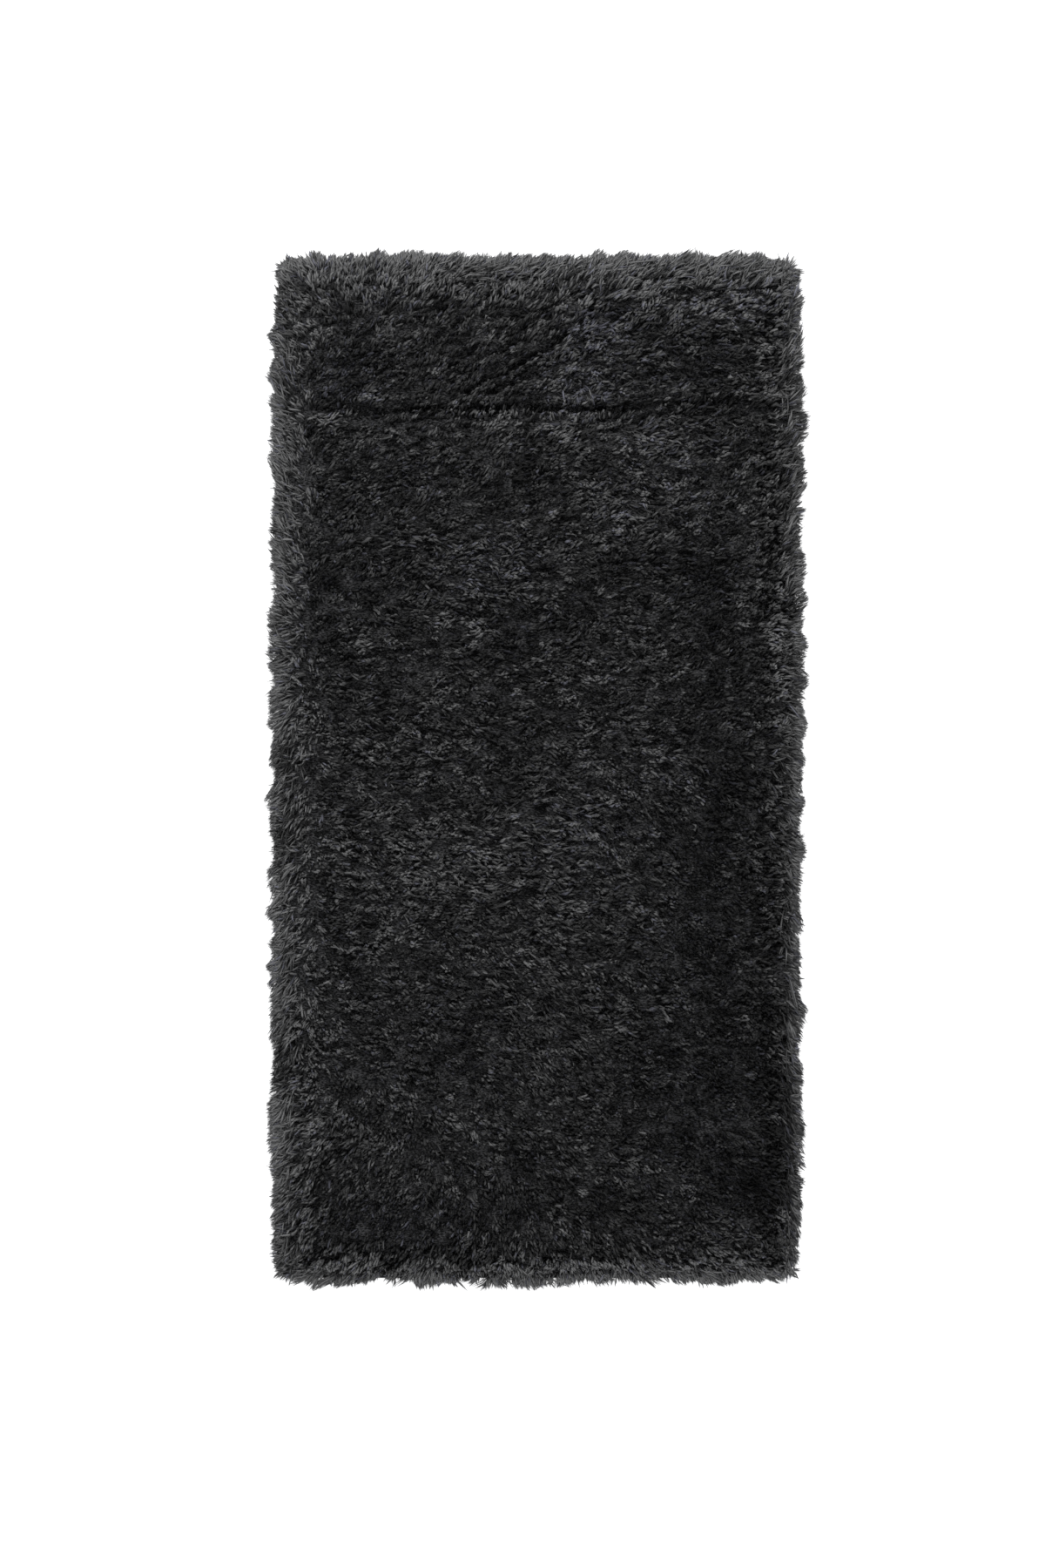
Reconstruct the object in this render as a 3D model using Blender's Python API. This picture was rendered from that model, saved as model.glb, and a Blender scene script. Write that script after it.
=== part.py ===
"""A rectangular shag rug, lying flat with its pile side up.

It is one tufted piece: a thin ground cloth whose long pile swells over the cloth's edge and ends there in
pointed locks, which droop to the floor. The pile is a lumpy slab. A fold mark crosses it near its head, slanting
partings run up from that mark, and a long parting follows its right side.

Metres, +Z up. The origin is the middle of the underside. +Y runs to the head, and +X to the right side.
"""

import math

import bmesh
import bpy
from mathutils import Vector, noise

# Driving sizes
CLOTH_WIDTH = 0.700
CLOTH_LENGTH = 1.400
PILE_HEIGHT = 0.037
PILE_SPREAD = 0.020  # from the cloth's edge out to the line where the pile thins to gaps

# The mesh of the pile's top: an even number of cells each way
CELLS_ACROSS = 34
CELLS_ALONG = 70

# Section of the rim, from the top's border down to the cloth's underside
RIM_SECTION = (
    # in from the spread line, height
    (0.042, 0.0350),
    (0.026, 0.0315),
    (0.015, 0.0235),
    (0.012, 0.0135),
    (0.020, 0.0030),
    (0.020, 0.0000),
)
CORNER_TURN = 0.045  # how far from a corner the rim's direction starts to turn
CORNER_FILL = 0.20  # how much further the rim stands out on the diagonal of a corner
TOP_BORDER = 0
UPPER_LOCKS = 2  # the bands of the section that the locks grow from
LOWER_LOCKS = 3

# How the spread line wanders from a straight edge
SIDE_WANDER = (
    # place along Y, outwards on the left side, outwards on the right side
    (-0.677, -0.005, -0.007),
    (-0.531, 0.001, -0.001),
    (-0.385, 0.004, -0.001),
    (-0.239, -0.001, -0.004),
    (-0.093, 0.004, -0.001),
    (0.053, 0.001, 0.002),
    (0.199, 0.002, -0.001),
    (0.272, -0.007, 0.001),
    (0.345, -0.003, -0.001),
    (0.491, -0.001, 0.001),
    (0.637, -0.002, -0.002),
)
END_WANDER = (
    # place along X, outwards at the foot, outwards at the head
    (-0.345, 0.001, -0.006),
    (-0.287, -0.002, -0.001),
    (-0.141, -0.004, 0.002),
    (-0.068, 0.005, -0.005),
    (0.005, -0.001, -0.001),
    (0.151, -0.006, 0.000),
    (0.225, -0.004, -0.001),
    (0.345, -0.004, -0.005),
)

# Marks in the pile. A row of the mesh follows the fold mark, and a column follows the long parting.
FOLD_MARK = (
    # place along X, place along Y
    (-0.353, 0.508),
    (-0.238, 0.493),
    (-0.068, 0.501),
    (0.006, 0.493),
    (0.127, 0.486),
    (0.225, 0.498),
    (0.352, 0.503),
)
LONG_PARTING = (
    # place along Y, place along X
    (-0.620, 0.292),
    (-0.519, 0.261),
    (-0.333, 0.245),
    (-0.097, 0.253),
    (0.016, 0.270),
    (0.178, 0.268),
    (0.324, 0.246),
    (0.394, 0.262),
)
SLANTING_PARTINGS = (
    # start along X and Y, end along X and Y, depth
    (-0.096, 0.529, 0.016, 0.582, 0.007),
    (-0.059, 0.512, 0.008, 0.555, 0.006),
    (-0.111, 0.475, -0.059, 0.495, 0.005),
    (0.020, 0.590, 0.106, 0.657, 0.007),
    (-0.020, 0.610, 0.060, 0.668, 0.005),
    (0.180, 0.660, 0.330, 0.668, 0.004),
    (-0.300, 0.300, -0.120, 0.330, 0.004),
    (-0.280, 0.150, -0.110, 0.175, 0.003),
)
FOLD_DEPTH = 0.013
FOLD_WIDTH = 0.009
PARTING_DEPTH = 0.008
PARTING_WIDTH = 0.013
SLANT_WIDTH = 0.016
MARK_FADE = 0.060  # the length over which a mark starts and ends

# How much of the pull to a mark the next rows or columns of the mesh follow, and how close they are drawn to it
FOLLOW = (1.0, 0.85, 0.45, 0.15)
DRAWN_IN = (0.0, 0.0085, 0.0080, 0.0030)

# Lumps of the pile's top
LUMPS = (
    # size of a lump, height, place in the noise
    (0.160, 0.0024, 3.1),
    (0.064, 0.0036, 7.7),
    (0.031, 0.0036, 12.9),
)

# Locks at the rim
UPPER_LOCK_STEP = 3  # every third cell has an upper lock
LOCK_REACH = 0.004  # the usual distance of a lock's tip past the spread line
LOCK_REACH_VARIES = 0.008
LOCK_SKEW = 0.0055  # the most that a tip turns to one side
LOWER_LOCK_HEIGHT = 0.0065  # half-way along the lock
UPPER_TIP_HEIGHT = 0.0125
UPPER_LOCK_HALF = 0.0030  # half the lock's height, half-way along it
LOCK_WAIST = 0.60  # width half-way along the lock, as a share of its root

# The flat middle of the underside, from the origin
UNDERSIDE_FLAT = (0.250, 0.600)

PILE_COLOUR = (0.028, 0.028, 0.030, 1.0)
PILE_ROUGHNESS = 0.85


def clear_scene():
    for obj in list(bpy.data.objects):
        bpy.data.objects.remove(obj, do_unlink=True)


def charcoal_pile():
    """The material of the whole rug, a matt charcoal yarn."""
    material = bpy.data.materials.new("charcoal_pile")
    material.use_nodes = True
    shader = material.node_tree.nodes["Principled BSDF"]
    shader.inputs["Base Color"].default_value = PILE_COLOUR
    shader.inputs["Roughness"].default_value = PILE_ROUGHNESS
    shader.inputs["Metallic"].default_value = 0.0
    return material


def interpolate(rows, place, column=1):
    """The value of a table's column at a place, straight between the table's rows and level past its ends."""
    if place <= rows[0][0]:
        return rows[0][column]
    for low, high in zip(rows, rows[1:]):
        if place <= high[0]:
            share = (place - low[0]) / (high[0] - low[0])
            return low[column] + share * (high[column] - low[column])
    return rows[-1][column]


def varied(place, seed):
    """A fixed but irregular number from -1 to 1 for a place and a seed."""
    return noise.cell_vector(Vector((place.x * 1000, place.y * 1000, seed)))[0] * 2 - 1


def outward(place):
    """The direction straight out of the rim, which turns smoothly round each corner."""
    half_width = CLOTH_WIDTH / 2 + PILE_SPREAD - RIM_SECTION[TOP_BORDER][0]
    half_length = CLOTH_LENGTH / 2 + PILE_SPREAD - RIM_SECTION[TOP_BORDER][0]
    core_x, core_y = half_width - CORNER_TURN, half_length - CORNER_TURN
    away = Vector((
        place.x - max(-core_x, min(core_x, place.x)),
        place.y - max(-core_y, min(core_y, place.y)),
        0.0,
    ))
    return away.normalized()


def corner_share(way):
    """How much further than at a straight side the rim stands out, in a direction out of it."""
    return 1 + CORNER_FILL * 2 * abs(way.x * way.y)


def wander(place):
    """How far the spread line lies outside its straight place, at the rim near a place."""
    way = outward(place)
    side = interpolate(SIDE_WANDER, place.y, 1 if way.x < 0 else 2)
    end = interpolate(END_WANDER, place.x, 1 if way.y < 0 else 2)
    return way.x ** 2 * side + way.y ** 2 * end


def drawn_to(index, middle, pull):
    """How far a row or column of the mesh moves towards a mark that its middle one follows."""
    steps = index - middle
    near = abs(steps)
    if near >= len(FOLLOW):
        return 0.0
    return pull * FOLLOW[near] - math.copysign(DRAWN_IN[near], steps)


def top_place(column, row):
    """Where a point of the pile's top lies, seen from above."""
    half_width = CLOTH_WIDTH / 2 + PILE_SPREAD - RIM_SECTION[TOP_BORDER][0]
    half_length = CLOTH_LENGTH / 2 + PILE_SPREAD - RIM_SECTION[TOP_BORDER][0]
    step_x, step_y = 2 * half_width / CELLS_ACROSS, 2 * half_length / CELLS_ALONG
    x, y = column * step_x - half_width, row * step_y - half_length
    fold_row = round((interpolate(FOLD_MARK, 0.0) + half_length) / step_y)
    parting_column = round((interpolate(LONG_PARTING, 0.0) + half_width) / step_x)
    inside_x = min(1.0, (half_width - abs(x)) / MARK_FADE)
    inside_y = min(1.0, (half_length - abs(y)) / MARK_FADE)
    to_fold = interpolate(FOLD_MARK, x) - (fold_row * step_y - half_length)
    to_parting = interpolate(LONG_PARTING, y) - (parting_column * step_x - half_width)
    along_parting = parting_share(y)
    return Vector((
        x + inside_x * inside_y * along_parting * drawn_to(column, parting_column, to_parting),
        y + inside_x * inside_y * drawn_to(row, fold_row, to_fold),
        0.0,
    ))


def parting_share(y):
    """How much of the long parting is there at a place along the rug, from 0 to 1."""
    first, last = LONG_PARTING[0][0], LONG_PARTING[-1][0]
    return max(0.0, min(1.0, (y - first) / MARK_FADE + 0.5, (last - y) / MARK_FADE + 0.5))


def trough(distance, width):
    """The share of a mark's depth at a distance from its middle."""
    return math.exp(-((distance / width) ** 2))


def mark_depth(place):
    """How deep the fold mark and the partings are at a place."""
    fade = min(1.0, (CLOTH_WIDTH / 2 - abs(place.x)) / MARK_FADE + 0.3)
    fold = FOLD_DEPTH * max(0.0, fade) * trough(place.y - interpolate(FOLD_MARK, place.x), FOLD_WIDTH)
    parting = PARTING_DEPTH * parting_share(place.y)
    parting *= trough(place.x - interpolate(LONG_PARTING, place.y), PARTING_WIDTH)
    slants = 0.0
    for start_x, start_y, end_x, end_y, depth in SLANTING_PARTINGS:
        start, end = Vector((start_x, start_y, 0.0)), Vector((end_x, end_y, 0.0))
        share = (place - start).dot(end - start) / (end - start).length_squared
        nearest = start + max(0.0, min(1.0, share)) * (end - start)
        slants = max(slants, depth * trough((place - nearest).length, SLANT_WIDTH))
    return max(fold, parting, slants)


def lump_height(place):
    """The lumps of the pile at a place, up or down."""
    return sum(
        height * noise.noise(Vector((place.x / size, place.y / size, layer))) * 2
        for size, height, layer in LUMPS
    )


def border_cells():
    """The column and row of each point round the top's border, anticlockwise from the near left corner."""
    foot = [(column, 0) for column in range(CELLS_ACROSS)]
    right = [(CELLS_ACROSS, row) for row in range(CELLS_ALONG)]
    head = [(column, CELLS_ALONG) for column in range(CELLS_ACROSS, 0, -1)]
    left = [(0, row) for row in range(CELLS_ALONG, 0, -1)]
    return foot + right + head + left


def add_top(bm):
    """The lumpy top of the pile, and its border's points in order."""
    points = {}
    for row in range(CELLS_ALONG + 1):
        for column in range(CELLS_ACROSS + 1):
            place = top_place(column, row)
            border = row in (0, CELLS_ALONG) or column in (0, CELLS_ACROSS)
            height = RIM_SECTION[TOP_BORDER][1] if border else PILE_HEIGHT
            place.z = height + lump_height(place) - mark_depth(place)
            if border:
                place += outward(place) * wander(place)
            points[column, row] = bm.verts.new(place)
    for row in range(CELLS_ALONG):
        for column in range(CELLS_ACROSS):
            bm.faces.new((
                points[column, row],
                points[column + 1, row],
                points[column + 1, row + 1],
                points[column, row + 1],
            ))
    return [points[cell] for cell in border_cells()]


def rim_ring(bm, border, band):
    """The ring of points at one step down the rim's section."""
    top_inset, top_height = RIM_SECTION[TOP_BORDER]
    inset, height = RIM_SECTION[band]
    on_cloth = inset >= PILE_SPREAD and band > LOWER_LOCKS
    ring = []
    for start in border:
        straight = start.co - outward(start.co) * wander(start.co)
        way = outward(straight)
        out = (top_inset - inset) * corner_share(way) + (0.0 if on_cloth else wander(straight))
        place = straight + way * out
        lump = 0.0 if on_cloth else (start.co.z - top_height) * height / top_height
        place.z = height + lump
        ring.append(bm.verts.new(place))
    return ring


def add_rim(bm, border):
    """The bands of faces down the rim. It returns each band's faces and the lowest ring."""
    bands, upper = [], border
    for band in range(1, len(RIM_SECTION)):
        lower = rim_ring(bm, border, band)
        bands.append([
            bm.faces.new((upper[i], lower[i], lower[(i + 1) % len(lower)], upper[(i + 1) % len(upper)]))
            for i in range(len(lower))
        ])
        upper = lower
    return bands, upper


def add_underside(bm, ring):
    """The flat underside: one large face in its middle, and fans from that face's corners to the cloth's edge."""
    corners = {
        (side, end): bm.verts.new((side * UNDERSIDE_FLAT[0], end * UNDERSIDE_FLAT[1], 0.0))
        for side in (-1, 1)
        for end in (-1, 1)
    }

    def corner_near(point):
        return corners[1 if point.co.x >= 0 else -1, 1 if point.co.y >= 0 else -1]

    for first, second in zip(ring, ring[1:] + ring[:1]):
        near, far = corner_near(first), corner_near(second)
        bm.faces.new((first, near, second) if near is far else (first, near, far, second))
    bm.faces.new((corners[-1, -1], corners[-1, 1], corners[1, 1], corners[1, -1]))


def add_lock(bm, root, half_place, half_height, tip):
    """A pointed lock out of a face of the rim: four sides to half-way, and four more that meet at its tip."""
    middle = root.calc_center_median()
    grown = bmesh.ops.extrude_discrete_faces(bm, faces=[root])["faces"][0]
    along = (tip - middle).normalized()
    across = Vector((-along.y, along.x, 0.0)).normalized()
    for point in grown.verts:
        sideways = (point.co - middle).dot(across) * LOCK_WAIST
        rise = math.copysign(half_height, point.co.z - middle.z)
        point.co = half_place + across * sideways
        point.co.z = half_place.z + rise
    end = bmesh.ops.poke(bm, faces=[grown])["verts"][0]
    end.co = tip


def lock_line(root, band, seed):
    """The place of a lock's tip past the spread line, and its place half-way, seen from above."""
    middle = root.calc_center_median()
    way = outward(middle)
    aside = Vector((-way.y, way.x, 0.0))
    root_inset = (RIM_SECTION[band][0] + RIM_SECTION[band + 1][0]) / 2
    reach = root_inset + LOCK_REACH + LOCK_REACH_VARIES * varied(middle, seed)
    tip = middle + way * reach + aside * LOCK_SKEW * varied(middle, seed + 1)
    return tip, middle.lerp(tip, 0.5)


def add_locks(bm, bands):
    """The locks of the rim. The lower ones lie level on the floor, and the upper ones droop over them."""
    for root in bands[LOWER_LOCKS]:
        tip, half_place = lock_line(root, LOWER_LOCKS, seed=1)
        tip.z = 0.0
        half_place.z = LOWER_LOCK_HEIGHT / 2
        add_lock(bm, root, half_place, LOWER_LOCK_HEIGHT / 2, tip)
    for root in bands[UPPER_LOCKS][::UPPER_LOCK_STEP]:
        tip, half_place = lock_line(root, UPPER_LOCKS, seed=5)
        root_height = root.calc_center_median().z
        tip.z = UPPER_TIP_HEIGHT
        half_place.z = (root_height + UPPER_TIP_HEIGHT) / 2
        add_lock(bm, root, half_place, UPPER_LOCK_HALF, tip)


def centre_on_origin(bm):
    """Moves the rug sideways so that the middle of its whole outline is over the origin."""
    xs, ys = [v.co.x for v in bm.verts], [v.co.y for v in bm.verts]
    shift = Vector(((min(xs) + max(xs)) / 2, (min(ys) + max(ys)) / 2, 0.0))
    bmesh.ops.translate(bm, verts=bm.verts, vec=-shift)


def shag_rug():
    """The whole rug, as one closed solid."""
    bm = bmesh.new()
    border = add_top(bm)
    bands, lowest = add_rim(bm, border)
    add_underside(bm, lowest)
    add_locks(bm, bands)
    centre_on_origin(bm)
    mesh = bpy.data.meshes.new("shag_rug")
    bm.to_mesh(mesh)
    bm.free()
    mesh.materials.append(charcoal_pile())
    rug = bpy.data.objects.new("shag_rug", mesh)
    bpy.context.scene.collection.objects.link(rug)
    return rug


def main():
    clear_scene()
    shag_rug()


main()
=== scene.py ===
"""Looks of a charcoal shag rug that lies flat on a pale floor, seen from straight above.

The rug is a woven ground cloth with long yarns in it, and a dense inside of shaded yarn below their tips. Two
kinds of yarn are modelled once each and laid tens of thousands of times, in tufts, so that the pile follows
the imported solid: its lumps, its fold mark, its partings and its drooping rim. Metres, +Z up, with the rug's
head at +Y.
"""

import math
from collections import namedtuple

import bpy
import numpy as np
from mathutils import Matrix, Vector, noise
from mathutils.bvhtree import BVHTree


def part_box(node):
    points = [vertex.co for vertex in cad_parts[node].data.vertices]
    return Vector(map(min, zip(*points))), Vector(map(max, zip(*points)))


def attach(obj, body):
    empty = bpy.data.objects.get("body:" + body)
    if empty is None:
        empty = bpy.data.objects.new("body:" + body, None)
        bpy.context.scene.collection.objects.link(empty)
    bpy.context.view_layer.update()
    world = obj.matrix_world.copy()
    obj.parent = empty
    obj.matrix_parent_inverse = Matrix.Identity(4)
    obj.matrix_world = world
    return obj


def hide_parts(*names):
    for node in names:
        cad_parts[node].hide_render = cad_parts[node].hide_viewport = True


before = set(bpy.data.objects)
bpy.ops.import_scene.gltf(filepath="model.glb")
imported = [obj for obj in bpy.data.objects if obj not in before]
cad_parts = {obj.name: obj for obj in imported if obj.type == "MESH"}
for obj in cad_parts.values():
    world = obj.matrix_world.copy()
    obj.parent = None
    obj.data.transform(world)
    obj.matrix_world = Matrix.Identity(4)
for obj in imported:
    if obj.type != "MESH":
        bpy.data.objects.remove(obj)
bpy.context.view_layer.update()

# Ground cloth
CLOTH_SIZE = (0.700, 1.400)
CLOTH_THICKNESS = 0.0025
CLOTH_CELLS = (10, 20)
CLOTH_ROUNDING = 0.4  # of its edge, as a share of its thickness
CLOTH_SMOOTH = 40  # degrees, up to which its faces are shaded as one
THREAD_PITCH = 0.0030

# Inside of the pile: the dense mass of yarn below the tips
CORE_SIZE = (0.722, 1.422)
CORE_CELLS = (90, 178)
CORE_CORNER = 0.030
CORE_DEPTH = 0.0110
CORE_LOW, CORE_RISE = 0.50, 0.075  # its height at its edge, as a share, and how far in it reaches all of it
CORE_SHOULDER = 0.018  # how far in its rounded edge reaches
CORE_EDGE_HEIGHT = 0.0028
CORE_SMOOTH = 60  # degrees, as for the cloth

# Yarns. Both kinds start and end in a point.
YARN_SIDES = 3
FULL_YARN = (
    # place along the yarn, radius
    (0.58, 0.00130),
    (0.90, 0.00115),
)
FINE_YARN = (
    # place along the yarn, radius
    (0.74, 0.00120),
)
ROOT_HEIGHT = 0.0015  # inside the ground cloth
CLOTH_EDGE = 0.0015  # no root stands nearer to the cloth's edge
ROOT_LIMIT = np.array(CLOTH_SIZE) / 2 - CLOTH_EDGE
LOWEST_POINT = 0.0003  # no yarn comes nearer to the floor

# Tufts stand in wandering rows across the rug, with more of them in rings along its edge
ROW_GAP = 0.0130
TUFT_GAP = 0.0110
ROW_WANDER, ROW_WANDER_SIZE = 0.0065, 0.060
TUFT_SHIFT = 0.0024
FIELD_INSET = 0.003
RING_INSETS = (0.0025, 0.0075, 0.014)
RING_TUFT_GAP = 0.0091
RING_SHIFT = 0.0035

Growth = namedtuple("Growth", "section yarns spread girth sunk sunk_varies reach turn gather bend")
# which yarn, how many in a tuft, how far their roots spread, their girth, how deep their tips lie below the
# top and how much that varies, how far they reach when flat, how much they turn in degrees, how much their
# tips draw together, how high they bend over
LONG_YARNS = Growth(FULL_YARN, 4, 0.0080, 1.22, 0.0000, 0.0022, 0.0200, 11, 0.35, 0.92)
FINE_YARNS = Growth(FINE_YARN, 12, 0.0086, 1.46, -0.0005, 0.0024, 0.0210, 11, 0.35, 1.08)
EDGE_YARNS = Growth(FINE_YARN, 12, 0.0056, 1.20, 0.0000, 0.0040, 0.0160, 18, 0.30, 1.00)
RIM_REACH = 0.053  # of the yarns at the cloth's edge, which spread over it
RIM_REACH_BAND = 0.017  # how far in from the edge the yarns are longer
RIM_REACH_FALL, FOOT_REACH_FALL = 2, 8  # how fast their reach falls where the rim's lay ends
RIM_GIRTH = 0.75  # the yarns are finer there
RIM_GATHER = 0.75  # and their tips draw together, into pointed locks

UPRIGHT_REACH, UPRIGHT_FLATNESS = 0.006, 0.03  # of the yarns that stand up
REACH_VARIES, TUFT_REACH_VARIES = 0.20, 0.10  # from yarn to yarn, and from tuft to tuft
MOST_SWING = 1.7  # the furthest that a turn or a reach varies, in times its usual swing
TIP_SPREAD = 0.0022
KNEE_PLACE = 0.25  # where the yarn bends over, as a share of its reach
TUFT_CURL, RIM_CURL = 0.30, 0.08  # how far a tuft's yarns curl aside there, as a share of their reach
KNEE_SPREAD = 0.0026
FLAT_BEND, BEND_VARIES = 0.26, 0.06  # how much higher a flat yarn bends over, and how much that varies
TUFT_NARROW = 0.66  # how wide a tuft is across its lay, as a share of its length
# a tuft's sides lie lower, and painted shade darkens them, as in the cracks between clumps
TUFT_DOME, TUFT_DOME_PAINTED_SHADE = 0.0105, 0.56  # how much lower and darker its sides are
TUFT_DOME_POWER = 4  # how suddenly it falls there
TUFT_SOFTNESS = (0.02, 0.14)  # how much of the solid lies round the tips that end the rim, from tuft to tuft
NOTCH_SOFTNESS, NOTCH_SIZE = 0.38, 0.016  # and what the notches between its locks add
FOOT_NOTCH_SOFTNESS = 0.42  # they are deeper at the foot
YARN_SOFTNESS = (0.00, 0.10)  # and what each yarn adds
DRAW_BACKS, DRAWN_BACK = 12, 0.93  # how often such a tip is drawn back, and to what share of its reach

# The lay of the pile in the field
COMBED = (
    # place along X, place along Y, way the tips point in degrees, how flat they lie from 0 to 1
    (-0.30, 0.66, 115, 0.80),
    (-0.20, 0.64, 75, 0.70),
    (-0.08, 0.64, 42, 0.70),
    (0.04, 0.62, 40, 0.70),
    (0.14, 0.65, 35, 0.75),
    (0.29, 0.64, 20, 0.80),
    (-0.27, 0.56, 30, 0.35),
    (-0.12, 0.57, 28, 0.50),
    (-0.03, 0.57, 30, 0.40),
    (0.08, 0.56, -8, 0.80),
    (0.18, 0.58, 0, 0.45),
    (0.29, 0.57, -5, 0.60),
    (-0.25, 0.52, 15, 0.50),
    (-0.06, 0.52, 25, 0.55),
    (0.16, 0.52, 2, 0.50),
    (-0.25, 0.41, 22, 0.55),
    (-0.08, 0.39, 12, 0.50),
    (0.06, 0.41, 10, 0.60),
    (0.17, 0.39, -6, 0.75),
    (0.27, 0.38, 30, 0.40),
    (-0.25, 0.29, 25, 0.55),
    (-0.08, 0.28, 5, 0.50),
    (0.10, 0.28, 2, 0.55),
    (-0.25, 0.16, -3, 0.50),
    (-0.06, 0.18, 0, 0.60),
    (0.12, 0.16, 8, 0.50),
    (0.27, 0.18, 15, 0.35),
    (-0.25, 0.06, -14, 0.60),
    (-0.08, 0.05, -8, 0.50),
    (0.10, 0.04, 0, 0.50),
    (-0.22, -0.06, 0, 0.55),
    (-0.07, -0.11, -12, 0.75),
    (0.07, -0.09, -12, 0.80),
    (0.18, -0.06, -28, 0.55),
    (-0.24, -0.17, -18, 0.60),
    (0.08, -0.20, -12, 0.60),
    (0.26, -0.16, -8, 0.30),
    (-0.21, -0.30, 0, 0.40),
    (-0.05, -0.29, -20, 0.55),
    (0.12, -0.30, -12, 0.50),
    (-0.20, -0.40, -12, 0.40),
    (0.00, -0.42, -25, 0.50),
    (0.26, -0.40, -12, 0.28),
    (-0.25, -0.53, 225, 0.50),
    (-0.08, -0.52, -20, 0.40),
    (0.08, -0.54, 5, 0.50),
    (0.22, -0.55, -8, 0.30),
    (-0.22, -0.62, 232, 0.35),
    (-0.06, -0.62, 250, 0.45),
    (0.10, -0.62, -40, 0.50),
)
COMB_REACH = 0.055  # how far one row of the table acts

# The lay at the rim. A side's yarns lean outwards within its band.
LEFT_BAND, RIGHT_BAND, HEAD_BAND, FOOT_BAND = 0.046, 0.022, 0.044, 0.018
RIM_END, LIP_END, RIM_REACH_END = 1.25, 1.20, 1.30  # where bands end, in their widths; each fades over one
LEFT_LAY = (
    # place along Y, way the tips point
    (-0.70, 212),
    (0.08, 207),
    (0.20, 157),
    (0.70, 143),
)
RIGHT_LAY = (
    # place along Y, way the tips point
    (-0.70, -48),
    (-0.20, -38),
    (0.12, -22),
    (0.22, 25),
    (0.70, 36),
)
HEAD_LAY = (
    # place along X, way the tips point
    (-0.35, 125),
    (-0.25, 85),
    (-0.15, 58),
    (0.05, 48),
    (0.35, 45),
)
FOOT_LAY = (
    # place along X, way the tips point
    (-0.35, 225),
    (-0.20, 240),
    (-0.08, 278),
    (0.10, 297),
    (0.35, 311),
)
RIM_FLATNESS = 0.95
RIM_WANDER, RIM_WANDER_SIZE = 0.012, 0.045  # how unevenly the bands end
LEAST_FLATNESS = 0.15  # where two lays part
PARTED_TURN = 55  # degrees, how much the tufts turn there

# How much less of each there is at the rim than in the field, as a share
RIM_LESS_TURN, RIM_LESS_FLATNESS, RIM_LESS_CLUMPS = 0.3, 0.7, 0.6
# of the painted light and shade on a tuft's sides
RIM_LESS_SIDE_SHADE, RIM_LESS_DOME_SHADE = 0.5, 0.25

# Marks in the pile. The yarns end beside them, apart from some where the fold mark is faint.
FOLD_MARK = (
    # place along X, place along Y
    (-0.353, 0.506),
    (-0.268, 0.504),
    (-0.214, 0.499),
    (-0.140, 0.503),
    (-0.080, 0.501),
    (-0.043, 0.504),
    (0.036, 0.500),
    (0.072, 0.499),
    (0.133, 0.504),
    (0.176, 0.509),
    (0.224, 0.511),
    (0.352, 0.510),
)
FOLD_STRENGTH = (
    # place along X, how clear the mark is
    (-0.353, 0.00),
    (-0.320, 0.10),
    (-0.290, 0.40),
    (-0.240, 0.60),
    (-0.200, 0.95),
    (-0.120, 0.70),
    (-0.090, 1.10),
    (-0.020, 1.30),
    (0.010, 1.30),
    (0.040, 0.80),
    (0.075, 1.20),
    (0.170, 1.00),
    (0.210, 0.60),
    (0.240, 0.60),
    (0.290, 0.45),
    (0.330, 0.15),
    (0.352, 0.00),
)
SLANTING_PARTINGS = (
    # from X, Y to X, Y, how clear it is
    (-0.104, 0.522, -0.037, 0.554, 1.20),
    (-0.037, 0.554, 0.020, 0.586, 1.50),
    (0.020, 0.586, 0.042, 0.604, 1.30),
    (-0.072, 0.523, 0.000, 0.549, 0.95),
    (-0.068, 0.574, -0.019, 0.596, 1.00),
    (-0.111, 0.475, -0.059, 0.492, 0.75),
    (-0.020, 0.610, 0.060, 0.668, 0.45),
    (0.180, 0.660, 0.330, 0.668, 0.30),
    (-0.300, 0.300, -0.120, 0.330, 0.35),
    (-0.280, 0.150, -0.110, 0.175, 0.40),
)
FOLD_LIP = 0.026  # below the mark, the yarns lean up to it
FOLD_LIP_LAY = (
    # place along X, way the tips point
    (-0.30, 55),
    (-0.10, 60),
    (0.00, 80),
    (0.10, 95),
    (0.20, 55),
    (0.32, 35),
)
FOLD_LIP_FLATNESS = 0.75
FOLD_RAGGED = 0.0022
FOLD_BREAK_SIZE = 0.016  # of the places where yarns cross it
NEAREST_TO_MARK = 0.15  # the least share of its reach that a yarn keeps at a mark
SHORT_OF_MARK = 0.05  # how far before the mark it ends, as a share of its reach
MARK_WIDTH, MARK_LIP = 0.0038, 0.0013  # how wide its groove is above its line and below it
MARK_OPEN, MARK_REACH = 0.0026, 0.0060  # how far the pile above a mark draws back, and from how far
MARK_WAVER, MARK_WAVER_SIZE = 0.0028, 0.022
# how deep a mark's groove is, and how much painted shade darkens the tips in it
MARK_DEPTH, MARK_PAINTED_SHADE = 0.0160, 0.75
MARK_SIDE = 0.0130  # how far the shade above a mark reaches, and the light below it
# how much painted shade darkens the pile above a mark, and how much painted light lightens it below
MARK_SIDE_PAINTED_SHADE, MARK_SIDE_PAINTED_LIGHT = 0.07, 0.15
LIP_RISE = 0.0030

# Fine creases between the clumps of the pile
CREASES = (
    # lowest and highest place along Y, slant in degrees
    (-0.80, 0.50, 2),
    (0.50, 0.80, 28),
)
CREASE_LENGTH, CREASE_GAP = 0.030, 0.0125
CREASE_WIDTH = 0.165  # as a share of the noise
# how deep a crease is, and how much painted shade darkens the tips in it
CREASE_DEPTH, CREASE_PAINTED_SHADE = 0.0120, 0.74

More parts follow.
